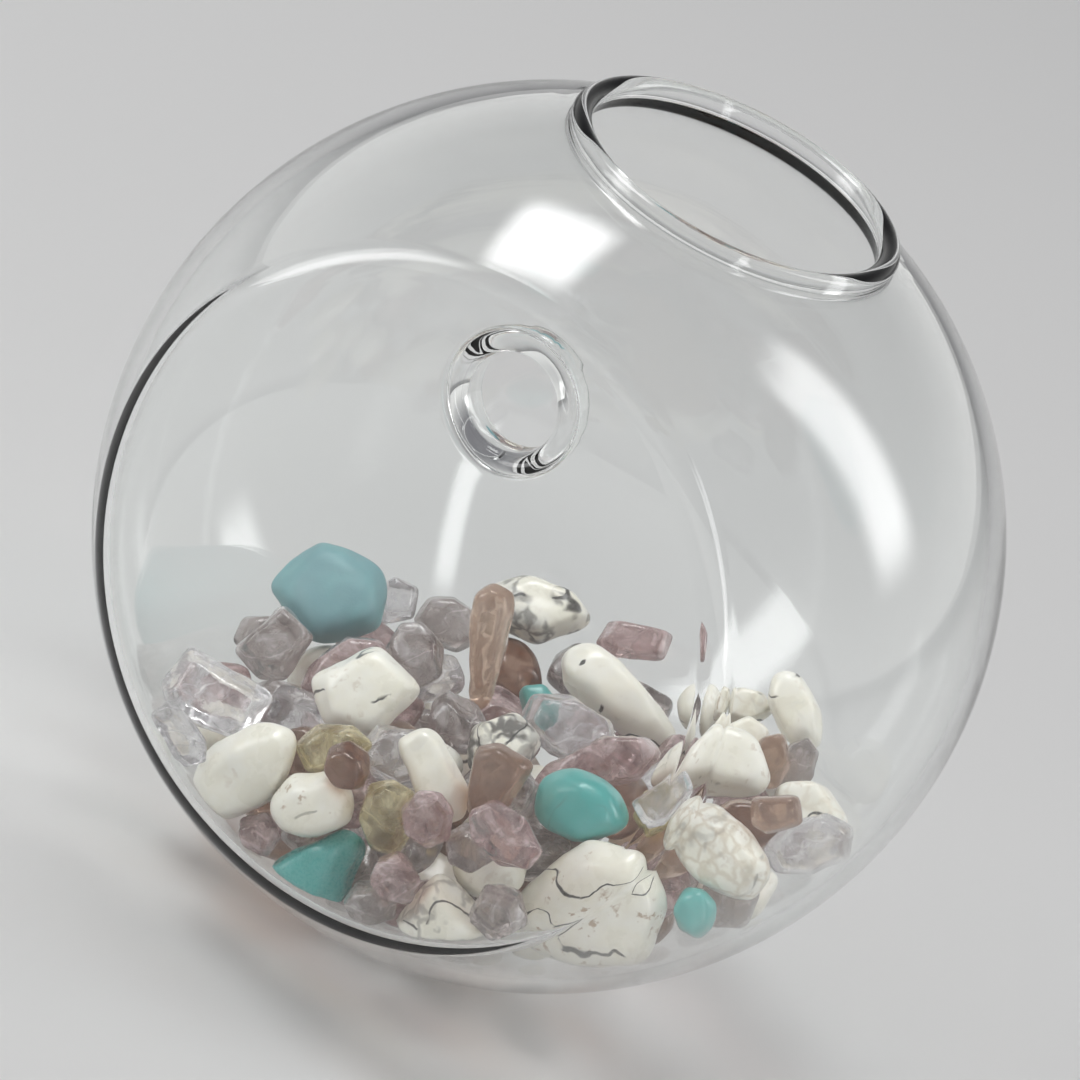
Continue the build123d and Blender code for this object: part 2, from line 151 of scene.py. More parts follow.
class StoneSettings(bpy.types.PropertyGroup):
    """Shape and colours of the tumbled stones."""

    polish: IntProperty(name="Polish", description="How long the edges were tumbled", default=4, min=0)
    fineness: IntProperty(name="Fineness", description="How finely a stone's skin is divided",
                          default=5, min=3, max=6)
    dents: size_property("Dents", "Depth of the hollows in a stone", 0.40 * MM)
    seed: IntProperty(name="Seed", description="Draws the dents and the tones of the bed", default=11)
    howlite: colour_property("Howlite", "Ground of the howlite", (0.80, 0.77, 0.67))
    vein: colour_property("Vein", "Hairline veins in the howlite", (0.035, 0.030, 0.028))
    rust: colour_property("Rust", "Rusty spots in the howlite", (0.30, 0.17, 0.07))
    turquoise: colour_property("Turquoise", "Polished green turquoise", (0.065, 0.35, 0.325))
    chalk_turquoise: colour_property("Chalky turquoise", "Matt blue turquoise", (0.150, 0.30, 0.325))
    rose_quartz: colour_property("Rose quartz", "Rose to mauve quartz", (0.64, 0.49, 0.48))
    smoky_quartz: colour_property("Smoky quartz", "Grey-brown quartz", (0.58, 0.52, 0.50))
    clear_quartz: colour_property("Clear quartz", "Clear to milky quartz", (0.86, 0.84, 0.85))
    citrine: colour_property("Citrine", "Olive to honey quartz", (0.70, 0.62, 0.38))
    agate: colour_property("Agate", "Dark bands of the agate", (0.20, 0.055, 0.016))
    pale_agate: colour_property("Pale agate", "Pale bands of the agate", (0.70, 0.54, 0.43))


class StageSettings(bpy.types.PropertyGroup):
    """Floor, light and camera."""

    floor: colour_property("Floor", "Colour of the floor", (0.78, 0.78, 0.77))
    azimuth: FloatProperty(name="Azimuth", description="Camera round the vase", default=198.455)
    elevation: FloatProperty(name="Elevation", description="Camera above the vase", default=25.925)
    roll: FloatProperty(name="Roll", description="Camera rolled, as the vase lies over", default=27.92)
    distance: size_property("Distance", "Camera to the ball's centre", 1.0)
    lens: FloatProperty(name="Lens", description="Focal length in millimetres", default=253.86)
    aim_left: size_property("Aim left", "Aim of the camera left of the ball's centre", 1.18 * MM)
    aim_down: size_property("Aim down", "Aim of the camera below the ball's centre", 0.42 * MM)


class VaseSettings(bpy.types.PropertyGroup):
    """All settings of the wall vase."""

    glass: PointerProperty(type=GlassSettings)
    stones: PointerProperty(type=StoneSettings)
    stage: PointerProperty(type=StageSettings)


# Materials

class Field:
    """A socket in a material's nodes. Arithmetic on it adds Math nodes."""

    def __init__(self, tree, socket=None):
        self.tree = tree
        self.socket = socket

    def node(self, kind, settings=None, sockets=None, output=0):
        """Adds a node, sets it, fills its sockets with values or links, and gives one of its outputs."""
        made = self.tree.nodes.new(kind)
        for name, value in (settings or {}).items():
            setattr(made, name, value)
        for key, value in (sockets or {}).items():
            if isinstance(value, Field):
                self.tree.links.new(value.socket, made.inputs[key])
            else:
                made.inputs[key].default_value = value
        return Field(self.tree, made.outputs[output])

    def math(self, operation, other=0.0):
        return self.node("ShaderNodeMath", {"operation": operation}, {0: self, 1: other})

    def __add__(self, other):
        return self.math("ADD", other)

    def __sub__(self, other):
        return self.math("SUBTRACT", other)

    def __rsub__(self, other):
        return self.math("MULTIPLY", -1.0).math("ADD", other)

    def __mul__(self, other):
        return self.math("MULTIPLY", other)

    def __truediv__(self, other):
        return self.math("DIVIDE", other)

    __radd__ = __add__
    __rmul__ = __mul__

    def size(self):
        """The value without its sign."""
        return self.math("ABSOLUTE")

    def step(self, low, high):
        """0 below low, 1 above high, and smooth between."""
        sockets = {"Value": self, "From Min": low, "From Max": high}
        return self.node("ShaderNodeMapRange", {"interpolation_type": "SMOOTHSTEP"}, sockets)

    def mix(self, first, second):
        """Two colours mixed by this value."""
        pair = [value if isinstance(value, Field) else (*value, 1.0) for value in (first, second)]
        settings = {"data_type": "RGBA", "clamp_factor": True}
        return self.node("ShaderNodeMix", settings, {"Factor": self, 6: pair[0], 7: pair[1]}, 2)


class Finish:
    """A new material with a Principled shader, and the patterns that its finishes are made of."""

    def __init__(self, name):
        self.material = bpy.data.materials.new(name)
        self.material.use_nodes = True
        tree = self.material.node_tree
        tree.nodes.clear()
        self.field = Field(tree)
        self.output = tree.nodes.new("ShaderNodeOutputMaterial")
        self.place = self.field.node("ShaderNodeTexCoord", output="Object")

    def attribute(self, name):
        """A value that each stone carries."""
        return self.field.node("ShaderNodeAttribute", {"attribute_name": name}, output="Fac")

    def noise(self, size, detail, rough=0.55, bend=0.0, place=None):
        """Cloudy pattern from 0 to 1 whose patches are about that size."""
        sockets = {"Vector": place or self.place, "Scale": 1 / size, "Detail": detail, "Roughness": rough,
                   "Distortion": bend}
        return self.field.node("ShaderNodeTexNoise", {}, sockets)

    def vector(self, operation, sockets, output=0):
        """One step of vector maths."""
        return self.field.node("ShaderNodeVectorMath", {"operation": operation}, sockets, output)

    def bent_place(self, size, reach):
        """Object coordinates, pushed about so that a pattern on them wanders."""
        sockets = {"Vector": self.place, "Scale": 1 / size, "Detail": 2.0}
        push = self.field.node("ShaderNodeTexNoise", {}, sockets, "Color")
        centred = self.vector("SUBTRACT", {0: push, 1: (0.5, 0.5, 0.5)})
        return self.vector("ADD", {0: self.place, 1: self.vector("SCALE", {0: centred, "Scale": reach})})

    def moved(self, shift):
        """Object coordinates, moved so that a second pattern on them is another one."""
        return self.vector("ADD", {0: self.place, 1: shift})

    def seams(self, spacing, bend, place):
        """Distance from long wandering lines, as a share of the way between them."""
        along = self.vector("DOT_PRODUCT", {0: place, 1: (0.52, 0.33, 0.79)}, "Value")
        swerve = self.noise(9 * MM, 1.5, 0.45, 0.0, place)
        return ((along / spacing + bend * swerve).math("FRACT") - 0.5).size()

    def cracks(self, size, place):
        """Distance from the borders of cells of about that size, as a share of it."""
        return self.field.node("ShaderNodeTexVoronoi", {"feature": "DISTANCE_TO_EDGE"},
                               {"Vector": place, "Scale": 1 / size})

    def bump(self, height, distance, strength):
        """A normal from a height pattern."""
        sockets = {"Height": height, "Distance": distance, "Strength": strength}
        return self.field.node("ShaderNodeBump", {}, sockets)

    def shader(self, sockets):
        """The Principled shader of the finish."""
        return self.field.node("ShaderNodeBsdfPrincipled", {}, sockets)

    def blend(self, factor, first, second):
        """Two shaders mixed."""
        return self.field.node("ShaderNodeMixShader", {}, {0: factor, 1: first, 2: second})

    def lit_through(self, shader, colour):
        """The shader, and for lamp light a way straight through."""
        open_way = self.field.node("ShaderNodeBsdfTransparent", {}, {"Color": (*colour, 1.0)})
        return self.blend(self.field.node("ShaderNodeLightPath", output="Is Shadow Ray"), shader, open_way)

    def done(self, shader):
        """Joins the shader to the material's output."""
        self.field.tree.links.new(shader.socket, self.output.inputs["Surface"])
        return self.material


def clear_glass(settings):
    """Colourless blown glass that lets lamp light through to what is behind it."""
    finish = Finish("clear_glass")
    swirl = finish.noise(30 * MM, 2.0, 0.4, 0.6)
    glass = finish.shader({
        "Base Color": (*settings.tint, 1.0), "Roughness": swirl.step(0.3, 0.9) * 0.012, "IOR": 1.5,
        "Transmission Weight": 1.0, "Normal": finish.bump(swirl, 0.25 * MM, 0.2),
    })
    return finish.done(finish.lit_through(glass, (0.95, 0.96, 0.96)))


def howlite(settings):
    """Cream stone with as much of the hairlines, marbling, rusty spots and grain as each stone has."""
    finish = Finish("howlite")
    hairlines, marbling, rust, grain = (finish.attribute(name) for name in MARKS)
    cloud = finish.noise(5 * MM, 4.0)
    speckle = finish.noise(0.9 * MM, 5.0, 0.7)
    broken = finish.noise(6 * MM, 1.0, 0.5, 0.0, finish.moved((0.31, 0.17, 0.43)))
    width = 0.026 + 0.040 * broken.step(0.48, 0.70)
    line = 1 - finish.seams(7 * MM, 2.2, finish.bent_place(2.5 * MM, 0.9 * MM)).step(0.4 * width, width)
    present = (broken + 0.13 * hairlines).step(0.56, 0.60) * hairlines.step(0.05, 0.35)
    hairline = line * present * speckle.step(0.25, 0.40)
    curds = finish.cracks(3.2 * MM, finish.bent_place(2.5 * MM, 3 * MM))
    patch = finish.noise(6 * MM, 2.0, 0.5, 0.0, finish.moved((0.07, 0.53, 0.29))).step(0.40, 0.58)
    marble = (1 - curds.step(0.02, 0.20)) * marbling * (patch + marbling).step(0.7, 1.3)
    shadow = marbling.step(0.3, 0.8) * patch * cloud.step(0.44, 0.62) * 0.5
    stain = finish.noise(1.8 * MM, 3.0, 0.6, 0.0, finish.moved((0.61, 0.23, 0.11)))
    spots = stain.step(0.57, 0.65) * cloud.step(0.46, 0.58) * rust
    mesh = (1 - finish.cracks(2.4 * MM, finish.bent_place(2 * MM, 2 * MM)).step(0.01, 0.22)) * grain
    chalk, tan, slate, ink = (0.83, 0.81, 0.74), (0.52, 0.43, 0.31), (0.42, 0.41, 0.40), (0.07, 0.06, 0.055)
    pale = cloud.step(0.35, 0.65).mix(settings.howlite, chalk)
    beige = (mesh * 0.5).mix(pale, tan)
    grey = shadow.mix(beige, slate)
    veined = (marble * 0.9).mix(grey, ink)
    rusty = (spots * 0.8).mix(veined, settings.rust)
    colour = (hairline * 0.95).mix(rusty, settings.vein)
    dip = cloud * 0.3 - hairline * 0.5 - marble * 0.35
    return finish.done(finish.shader({
        "Base Color": colour, "Roughness": 0.20 + 0.18 * cloud + 0.25 * marble, "Coat Weight": 0.35,
        "Coat Roughness": 0.08, "Normal": finish.bump(dip, 0.2 * MM, 0.5), "IOR": 1.55,
        "Subsurface Weight": 0.08, "Subsurface Radius": (0.002, 0.0017, 0.0012),
    }))


def turquoise(settings):
    """Blue-green stone: chalky and matt at a low tone, greener and polished at a high one."""
    finish = Finish("turquoise")
    tone = finish.attribute("tone")
    cloud = finish.noise(6 * MM, 4.0)
    grain = finish.noise(0.5 * MM, 3.0, 0.7)
    seam = 1 - finish.seams(8 * MM, 2.0, finish.bent_place(3 * MM, 1.5 * MM)).step(0.006, 0.030)
    pale_cloud, dark_speck, olive_seam = (0.20, 0.50, 0.49), (0.05, 0.22, 0.23), (0.09, 0.15, 0.13)
    body = tone.step(0.2, 0.7).mix(settings.chalk_turquoise, settings.turquoise)
    cloudy = (cloud.step(0.40, 0.70) * 0.30).mix(body, pale_cloud)
    speckled = (grain.step(0.58, 0.72) * 0.22).mix(cloudy, dark_speck)
    colour = (seam * cloud.step(0.50, 0.60) * tone * 0.5).mix(speckled, olive_seam)
    return finish.done(finish.shader({
        "Base Color": colour, "Roughness": 0.50 - 0.34 * tone + 0.10 * grain, "IOR": 1.6,
        "Coat Weight": 0.5 * tone, "Coat Roughness": 0.06,
        "Normal": finish.bump(cloud + 0.3 * grain, 0.2 * MM, 0.5),
    }))


def quartz(kind, settings):
    """Glassy stone with milky veils and flaws inside, darker at a higher tone."""
    ground = getattr(settings, kind)
    veil, clearness, light = QUARTZ[kind]
    finish = Finish(kind)
    tone = finish.attribute("tone")
    wandering = finish.bent_place(5 * MM, 4 * MM)
    cloud = finish.noise(4 * MM, 4.0, 0.6, 0.8)
    veils = finish.noise(2.2 * MM, 5.0, 0.65, 0.0, wandering)
    flaw = 1 - finish.seams(4 * MM, 1.8, wandering).step(0.006, 0.050)
    dark = tuple(channel ** 1.7 for channel in ground)
    body = (tone * 0.7 + cloud.step(0.35, 0.65) * 0.3).mix(ground, dark)
    milk = (cloud.step(0.45, 0.70) * 0.6).mix(tuple(0.8 * channel for channel in ground), veil)
    surface = {"Roughness": 0.02 + 0.10 * veils.step(0.35, 0.75), "IOR": 1.54,
               "Normal": finish.bump(cloud + 0.35 * veils, 0.3 * MM, 0.5)}
    clear = finish.shader({"Base Color": body, "Transmission Weight": 1.0, **surface})
    milky = finish.shader({"Base Color": milk, "Coat Weight": 0.5, "Coat Roughness": 0.05, **surface})
    cloudiness = (1 - clearness) * cloud.step(0.30, 0.70) * 1.6 + veils.step(0.50, 0.70) * 0.3 + flaw * 0.25
    return finish.done(finish.lit_through(finish.blend(cloudiness, clear, milky), light))


def agate(settings):
    """Brown stone in fine wandering bands, tan at a low tone."""
    finish = Finish("agate")
    tone = finish.attribute("tone")
    wandering = finish.bent_place(5 * MM, 4 * MM)
    layers = finish.seams(1.6 * MM, 3.0, wandering).step(0.10, 0.40)
    cloud = finish.noise(3.5 * MM, 4.0, 0.6, 0.8)
    body = (tone * (0.65 + 0.35 * cloud.step(0.35, 0.65))).mix(settings.pale_agate, settings.agate)
    tan, umber, tan_light = (0.60, 0.44, 0.34), (0.08, 0.022, 0.008), (0.60, 0.42, 0.30)
    band = (tone * 0.9).mix(tan, umber)
    colour = (layers * cloud.step(0.40, 0.60) * 0.65).mix(body, band)
    surface = {"Base Color": colour, "Roughness": 0.03 + 0.12 * cloud, "IOR": 1.54,
               "Normal": finish.bump(cloud, 0.25 * MM, 0.5)}
    clear = finish.shader({"Transmission Weight": 1.0, **surface})
    dense = finish.shader({"Coat Weight": 0.5, "Coat Roughness": 0.05, **surface})
    stone = finish.blend(0.05 + 0.45 * cloud, clear, dense)
    return finish.done(finish.lit_through(stone, tan_light))


def pale_floor(settings):
    """Smooth pale floor with a faint unevenness."""
    finish = Finish("pale_floor")
    cloud = finish.noise(0.35, 3.0)
    darker = tuple(0.97 * channel for channel in settings.floor)
    return finish.done(finish.shader({
        "Base Color": cloud.mix(settings.floor, darker), "Roughness": 0.6 + 0.1 * cloud,
        "Specular IOR Level": 0.25,
    }))


# The glass

def arc(centre, radius, start, end, count):
    """Points along an arc between two angles in degrees."""
    angles = np.radians(np.linspace(start, end, count))
    return np.column_stack([centre[0] + radius * np.cos(angles), centre[1] + radius * np.sin(angles)])


def meeting_point(first, first_reach, second, second_reach):
    """The outer one of the two points at those distances from two centres in a plane."""
    between = np.subtract(second, first)
    span = np.hypot(*between)
    along = (first_reach**2 - second_reach**2 + span**2) / (2 * span)
    across = math.sqrt(first_reach**2 - along**2)
    forward = between / span
    sideways = np.array([forward[1], -forward[0]])
    return np.add(first, along * forward) + across * sideways


def direction(origin, target):
    """Angle in degrees of the way from one point of a plane to another."""
    return math.degrees(math.atan2(target[1] - origin[1], target[0] - origin[0]))


def lip_profile(glass):
    """Section of the lip, out from the mouth's axis and up: from the outside over the bead to the inside."""
    inner_radius = BALL_RADIUS - glass.wall
    bead = np.array([glass.mouth_radius + glass.bead_radius, LIP_TOP - glass.bead_radius])
    groove = meeting_point((0, 0), BALL_RADIUS + glass.groove_radius,
                           bead, glass.bead_radius + glass.groove_radius)
    out_of_ball = direction((0, 0), groove)
    foot_turn = 3
    outer_foot = out_of_ball - foot_turn
    throat = glass.mouth_radius + glass.bead_proud
    brow = np.array([throat + glass.groove_radius, 0])
    brow[1] = math.sqrt((inner_radius + glass.groove_radius) ** 2 - brow[0] ** 2)
    into_ball = direction((0, 0), brow)
    bead_end = 180 + math.degrees(math.acos((bead[0] - throat) / glass.bead_radius))
    groove_turn = direction(groove, bead)
    return np.concatenate([
        arc((0, 0), BALL_RADIUS, outer_foot, out_of_ball, 4),
        arc(groove, glass.groove_radius, out_of_ball - 180, groove_turn - 360, 8)[1:],
        arc(bead, glass.bead_radius, groove_turn - 180, bead_end, 30)[1:],
        arc(brow, glass.groove_radius, 180, into_ball + 180, 7),
        arc((0, 0), inner_radius, into_ball, outer_foot, 4)[1:],
    ])


def rim_profile(glass):
    """Section of the hanging hole's rim, out from its axis and to the wall: from the outside inwards."""
    bore_end = HOLE_MIDDLE - HOLE_LENGTH / 2
    roll = (HOLE_RADIUS + glass.roll_radius, BACK_DISTANCE - glass.roll_radius)
    tip = (HOLE_RADIUS + glass.rim_radius, bore_end)
    root = (HOLE_RADIUS + 2 * glass.rim_radius + glass.root_radius,
            BACK_DISTANCE - glass.wall - glass.root_radius)
    flat_margin = 0.3 * MM
    foot = max(roll[0], root[0]) + flat_margin
    bore = np.column_stack([np.full(5, HOLE_RADIUS), np.linspace(roll[1], bore_end, 5)])
    neck = np.column_stack([np.full(4, tip[0] + glass.rim_radius), np.linspace(bore_end, root[1], 4)])
    return np.concatenate([
        [(foot, BACK_DISTANCE)], arc(roll, glass.roll_radius, 90, 180, 14), bore[1:],
        arc(tip, glass.rim_radius, 180, 360, 22)[1:], neck[1:], arc(root, glass.root_radius, 180, 90, 7)[1:],
        [(foot, BACK_DISTANCE - glass.wall)],
    ])


def ball_rings(glass):
    """Rings round the back's axis: out from it, to the wall, the turn of their faces, and their spacing."""
    edge, grain, edge_grain = glass.edge_radius, glass.grain, glass.grain / 3
    edge_out = math.sqrt((BALL_RADIUS - edge) ** 2 - (BACK_DISTANCE - edge) ** 2)
    edge_end = math.atan2(BACK_DISTANCE - edge, edge_out)
    rings = [(out, BACK_DISTANCE, math.pi / 2, grain)
             for out in np.linspace(0, edge_out, round(edge_out / grain))[:-1]]
    for turn in np.linspace(math.pi / 2, edge_end, glass.edge_rings):
        out = edge_out + edge * math.cos(turn)
        rings.append((out, BACK_DISTANCE - edge + edge * math.sin(turn), turn, edge_grain))
    around = (edge_end + math.pi / 2) * BALL_RADIUS
    for turn in np.linspace(edge_end, -math.pi / 2, round(around / grain))[1:]:
        rings.append((BALL_RADIUS * math.cos(turn), BALL_RADIUS * math.sin(turn), turn, grain))
    return rings


def ball_points(glass, mouth_edge, hole_edge):
    """Points of the ball's outside and their normals, without those at the mouth and the hanging hole."""
    points, normals = [], []
    for row, (out, back, turn, spacing) in enumerate(ball_rings(glass)):
        count = max(1, round(2 * math.pi * max(out, 0) / spacing))
        angles = 2 * math.pi * (np.arange(count) + 0.5 * (row % 2)) / count
        ring = np.column_stack([out * np.cos(angles), np.full(count, back), out * np.sin(angles)])
        level = math.cos(turn)
        points.append(ring)
        normals.append(np.column_stack([level * np.cos(angles), np.full(count, math.sin(turn)),
                                        level * np.sin(angles)]))
    points, normals = np.concatenate(points), np.concatenate(normals)
    margin = 0.6 * glass.grain
    at_mouth = (np.hypot(points[:, 0], points[:, 1]) < mouth_edge + margin) & (points[:, 2] > 0)
    at_hole = np.hypot(points[:, 0], points[:, 2] - HOLE_HEIGHT) < hole_edge + margin
    kept = ~(at_mouth | (at_hole & (points[:, 1] > 0)))
    return points[kept], normals[kept]


def ring_of_points(out, along, count, axis):
    """A ring about the mouth's axis, or about the hanging hole's."""
    angles = 2 * math.pi * np.arange(count) / count
    if axis == "mouth":
        return np.column_stack([out * np.cos(angles), out * np.sin(angles), np.full(count, along)])
    return np.column_stack([out * np.cos(angles), np.full(count, along), HOLE_HEIGHT + out * np.sin(angles)])


def lathe(profile, count, axis, offset):
    """Points and faces of a section turned about the mouth's or the hanging hole's axis."""
    points = np.concatenate([ring_of_points(out, along, count, axis) for out, along in profile])
    column = np.arange(count)
    faces = [np.column_stack([row * count + column, row * count + (column + 1) % count,
                              (row + 1) * count + (column + 1) % count, (row + 1) * count + column])
             for row in range(len(profile) - 1)]
    return points, (np.concatenate(faces) + offset).tolist()


def wander(points):
    """Slow waves from -1 to 1 over the ball, as a blower's hand leaves them."""
    across, back, up = (points / BALL_RADIUS).T
    return (np.sin(3.1 * across + 2.3 * up + 0.4) * np.cos(2.7 * back - 1.9 * up)
            + 0.6 * np.sin(5.2 * up - 3.7 * back + 1.1) * np.cos(4.1 * across + 0.8)) / 1.6


def wander_slope(points, normals):
    """How steeply the waves rise along the ball, as vectors on its surface."""
    step = 0.1 * MM
    slope = np.column_stack([(wander(points + step * axis) - wander(points - step * axis)) / (2 * step)
                             for axis in np.eye(3)])
    return slope - (slope * normals).sum(axis=1)[:, None] * normals


def ball_triangles(points, normals, free):
    """Triangles over the ball that face outwards. The points from free on are the rings at its openings."""
    ways = points / np.linalg.norm(points, axis=1)[:, None]
    flat = ways[:, :2] / (1 - ways[:, 2:])
    laid_out = delaunay_2d_cdt([Vector(spot) for spot in flat], [], [], 0, 1e-9)
    order = np.array([ids[0] for ids in laid_out[3]])
    triangles = order[np.array(laid_out[2])]
    triangles = triangles[~(triangles >= free).all(axis=1)]
    corners = points[triangles]
    facing = np.cross(corners[:, 1] - corners[:, 0], corners[:, 2] - corners[:, 0])
    turned = (facing * normals[triangles[:, 0]]).sum(axis=1) < 0
    triangles[turned] = triangles[turned][:, ::-1]
    return triangles


def glass_mesh(glass):
    """The whole blown piece: the ball outside and inside, joined by the lip and by the hanging hole's rim."""
    lip, rim = lip_profile(glass), rim_profile(glass)
    mouth_step, hole_step = 0.5 * glass.grain, 0.4 * glass.grain
    mouth_count = round(2 * math.pi * lip[0][0] / mouth_step)
    hole_count = round(2 * math.pi * rim[0][0] / hole_step)
    mouth_ring = ring_of_points(*lip[0], mouth_count, "mouth")
    hole_ring = ring_of_points(*rim[0], hole_count, "hole")
    points, normals = ball_points(glass, lip[0][0], rim[0][0])
    free = len(points)
    points = np.concatenate([points, mouth_ring, hole_ring])
    normals = np.concatenate([normals, mouth_ring / BALL_RADIUS, np.tile((0.0, 1.0, 0.0), (hole_count, 1))])
    triangles = ball_triangles(points, normals, free)
    uneven = np.ones(len(points))
    uneven[free:] = 0
    depth = glass.wall + glass.wander * wander(points) * uneven
    inside = points - depth[:, None] * normals
    inside_facing = -normals - glass.wander * wander_slope(points, normals) * uneven[:, None]
    lip_points, lip_faces = lathe(lip, mouth_count, "mouth", 2 * len(points))
    rim_points, rim_faces = lathe(rim, hole_count, "hole", 2 * len(points) + len(lip_points))
    every = np.concatenate([points, inside, lip_points, rim_points]) + np.array(BALL_CENTRE)
    faces = triangles.tolist() + (triangles[:, ::-1] + len(points)).tolist() + lip_faces + rim_faces
    turned_parts = np.zeros((len(lip_points) + len(rim_points), 3))
    return welded("blown_glass", every, faces, np.concatenate([normals, inside_facing, turned_parts]))


def mesh_of(name, points, faces):
    """A smooth-shaded mesh."""
    mesh = bpy.data.meshes.new(name)
    mesh.from_pydata(points.tolist(), [], faces)
    mesh.shade_smooth()
    return mesh


def welded(name, points, faces, facing):
    """A mesh with points that lie together joined, and with exact normals where they aren't zero."""
    mesh = mesh_of(name, points, faces)
    mesh.attributes.new("facing", "FLOAT_VECTOR", "POINT").data.foreach_set("vector", facing.ravel())
    shell = bmesh.new()
    shell.from_mesh(mesh)
    bmesh.ops.remove_doubles(shell, verts=shell.verts, dist=GLASS_WELD)
    bmesh.ops.recalc_face_normals(shell, faces=shell.faces)
    shell.to_mesh(mesh)
    shell.free()
    mesh.shade_smooth()
    exact = np.zeros(3 * len(mesh.vertices))
    mesh.attributes["facing"].data.foreach_get("vector", exact)
    exact = exact.reshape(-1, 3)
    length = np.linalg.norm(exact, axis=1)[:, None]
    own = np.array([normal.vector for normal in mesh.vertex_normals])
    shortest = 0.5
    normals = np.where(length > shortest, exact / np.maximum(length, shortest), own)
    mesh.attributes.remove(mesh.attributes["facing"])
    mesh.normals_split_custom_set_from_vertices(normals.tolist())
    return mesh


# The stones

def tumbling_tree():
    """Geometry nodes that draw a fine skin over a rough stone, wear its edges down and dent it."""
    tree = bpy.data.node_groups.new("tumbled_stone", "GeometryNodeTree")
    inputs = {"Rough stone": "Geometry", "Middle": "Vector", "Stretch": "Vector", "Polish": "Int",
              "Fineness": "Int", "Dents": "Float", "Seed": "Float", "Material": "Material"}
    sockets = {}
    for name, kind in inputs.items():
        socket = tree.interface.new_socket(name, in_out="INPUT", socket_type="NodeSocket" + kind)
        sockets[name] = socket.identifier
    tree.interface.new_socket("Stone", in_out="OUTPUT", socket_type="NodeSocketGeometry")
    start, end = tree.nodes.new("NodeGroupInput"), tree.nodes.new("NodeGroupOutput")
    farthest_skin, dents_per_metre, undented_below, dent_gain = 0.1, 170.0, 0.40, 4.0

    def node(kind, links, **settings):
        made = tree.nodes.new(kind)
        for name, value in settings.items():
            setattr(made, name, value)
        for key, value in links.items():
            if isinstance(value, bpy.types.NodeSocket):
                tree.links.new(value, made.inputs[key])
            else:
                made.inputs[key].default_value = value
        return made

    skin = node("GeometryNodeMeshIcoSphere", {"Radius": 1.0, "Subdivisions": start.outputs["Fineness"]})
    place = node("GeometryNodeInputPosition", {}).outputs[0]
    ray = node("ShaderNodeVectorMath", {0: place, 1: start.outputs["Stretch"]}, operation="MULTIPLY")
    ray = node("ShaderNodeVectorMath", {0: ray.outputs[0]}, operation="NORMALIZE")
    hit = node("GeometryNodeRaycast", {
        "Target Geometry": start.outputs["Rough stone"], "Source Position": start.outputs["Middle"],
        "Ray Direction": ray.outputs[0], "Ray Length": farthest_skin})
    wrapped = node("GeometryNodeSetPosition", {
        "Geometry": skin.outputs["Mesh"], "Position": hit.outputs["Hit Position"]})
    worn = node("GeometryNodeBlurAttribute", {
        "Value": node("GeometryNodeInputPosition", {}).outputs[0], "Iterations": start.outputs["Polish"],
        "Weight": 1.0}, data_type="FLOAT_VECTOR")
    smooth = node("GeometryNodeSetPosition", {"Geometry": wrapped.outputs[0], "Position": worn.outputs[0]})
    cloud = node("ShaderNodeTexNoise", {"W": start.outputs["Seed"], "Scale": dents_per_metre,
                                        "Detail": 1.5, "Roughness": 0.5}, noise_dimensions="4D")
    hollow = node("ShaderNodeMath", {0: cloud.outputs[0], 1: undented_below}, operation="SUBTRACT")
    hollow = node("ShaderNodeMath", {0: hollow.outputs[0], 1: 0.0}, operation="MAXIMUM")
    depth = node("ShaderNodeMath", {0: start.outputs["Dents"], 1: -dent_gain}, operation="MULTIPLY")
    sunk = node("ShaderNodeMath", {0: hollow.outputs[0], 1: depth.outputs[0]}, operation="MULTIPLY")
    push = node("ShaderNodeVectorMath", {0: node("GeometryNodeInputNormal", {}).outputs[0],
                                         "Scale": sunk.outputs[0]}, operation="SCALE")
    dented = node("GeometryNodeSetPosition", {"Geometry": smooth.outputs[0], "Offset": push.outputs[0]})
    whole = node("GeometryNodeRealizeInstances", {"Geometry": dented.outputs[0]})
    painted = node("GeometryNodeSetMaterial", {"Geometry": whole.outputs[0],
                                               "Material": start.outputs["Material"]})
    tree.links.new(painted.outputs[0], end.inputs[0])
    return tree, sockets


def separate_solids(node):
    """Points and faces of each closed solid of a CAD node, from a merged copy of its mesh."""
    shell = bmesh.new()
    shell.from_mesh(frame["nodes"][node].data)
    bmesh.ops.remove_doubles(shell, verts=shell.verts, dist=STONE_WELD)
    shell.verts.ensure_lookup_table()
    group = np.full(len(shell.verts), -1)
    solids = []
    for seed in shell.verts:
        if group[seed.index] >= 0:
            continue
        found, waiting = [], [seed]
        group[seed.index] = len(solids)
        while waiting:
            vert = waiting.pop()
            found.append(vert)
            for edge in vert.link_edges:
                other = edge.other_vert(vert)
                if group[other.index] < 0:
                    group[other.index] = len(solids)
                    waiting.append(other)
        number = {vert.index: place for place, vert in enumerate(found)}
        faces = {face for vert in found for face in vert.link_faces}
        solids.append((np.array([vert.co for vert in found]),
                       sorted([number[vert.index] for vert in face.verts] for face in faces)))
    shell.free()
    return solids


def middle_of(triangles):
    """Centre of gravity of a stone's skin, which lies within the stone."""
    sides = triangles[:, 1:] - triangles[:, :1]
    areas = np.linalg.norm(np.cross(sides[:, 0], sides[:, 1]), axis=1)
    return np.average(triangles.mean(axis=1), axis=0, weights=areas)


